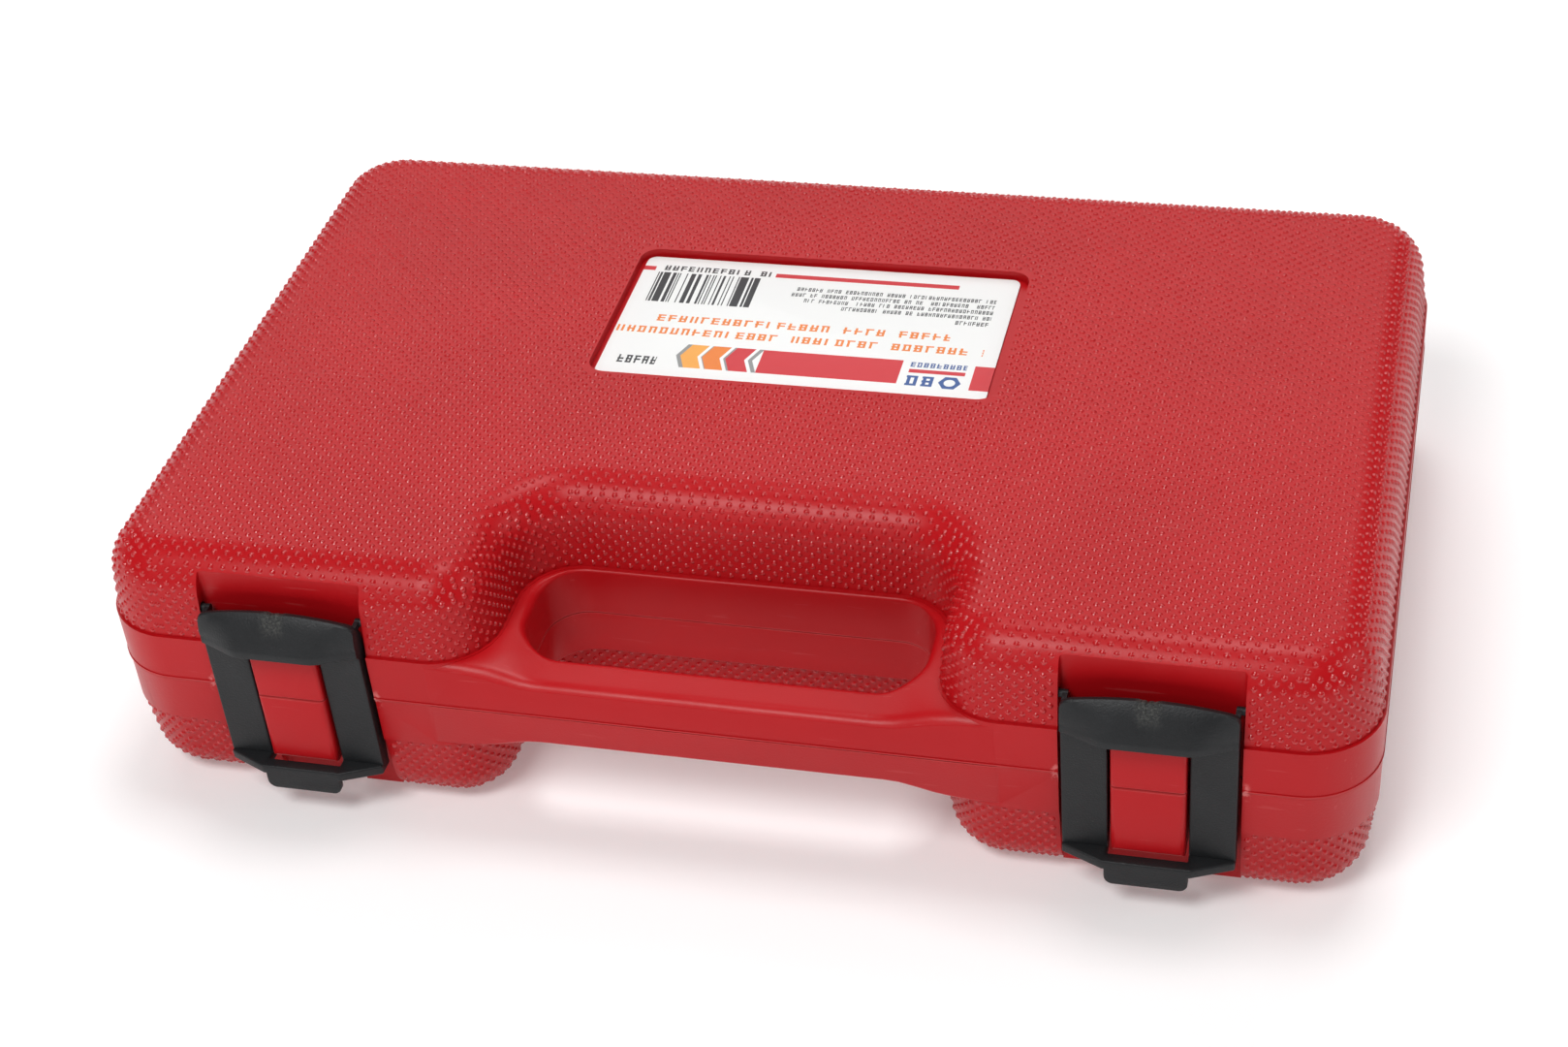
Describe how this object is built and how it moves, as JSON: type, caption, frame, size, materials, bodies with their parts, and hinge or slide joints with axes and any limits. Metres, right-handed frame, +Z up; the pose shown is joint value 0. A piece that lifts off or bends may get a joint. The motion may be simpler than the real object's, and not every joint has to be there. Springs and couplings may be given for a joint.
{
  "type": "socket set in carrying case",
  "caption": "Hinged moulded plastic carrying case with an integral handle and swing latches, holding deep twelve-point sockets and hexagon bit sockets in its tray.",
  "frame": {"origin": "middle of the whole object's footprint, on the surface that the closed case lies on", "axes": "+X along the case's long side, -Y out of the handle and latch side, +Y out of the hinge side, +Z up through the lid"},
  "size_m": [0.32, 0.2174, 0.074],
  "materials": {
    "case_plastic": "satin blow-moulded plastic with a pebbled texture",
    "latch_plastic": "satin charcoal injection-moulded plastic",
    "printed_label": "printed self-adhesive sheet",
    "pin_steel": "drawn wire",
    "socket_chrome": "satin chrome",
    "bit_steel": "ground tool steel"
  },
  "bodies": {
    "base": {"base_shell": "case_plastic", "hinge_pin_left": "pin_steel", "hinge_pin_right": "pin_steel", "socket_27mm": "socket_chrome", "socket_30mm": "socket_chrome", "socket_32mm": "socket_chrome", "socket_34mm": "socket_chrome", "socket_36mm": "socket_chrome", "hex_holder_14mm": "socket_chrome", "hex_holder_17mm": "socket_chrome", "hex_holder_19mm": "socket_chrome", "hex_bit_14mm": "bit_steel", "hex_bit_17mm": "bit_steel", "hex_bit_19mm": "bit_steel"},
    "lid": {"lid_shell": "case_plastic", "label": "printed_label"},
    "latch_left": {"latch_left": "latch_plastic"},
    "latch_right": {"latch_right": "latch_plastic"}
  },
  "joints": [
    {"name": "lid_hinge", "type": "hinge", "parent": "base", "child": "lid", "pos_m": [0, 0.1055, 0.037], "axis": [-1, 0, 0], "range_deg": [0, 180]},
    {"name": "latch_left_pivot", "type": "hinge", "parent": "lid", "child": "latch_left", "pos_m": [-0.1074, -0.0984, 0.0593], "axis": [-1, 0, 0], "range_deg": [0, 60]},
    {"name": "latch_right_pivot", "type": "hinge", "parent": "lid", "child": "latch_right", "pos_m": [0.1074, -0.0984, 0.0593], "axis": [-1, 0, 0], "range_deg": [0, 60]}
  ]
}
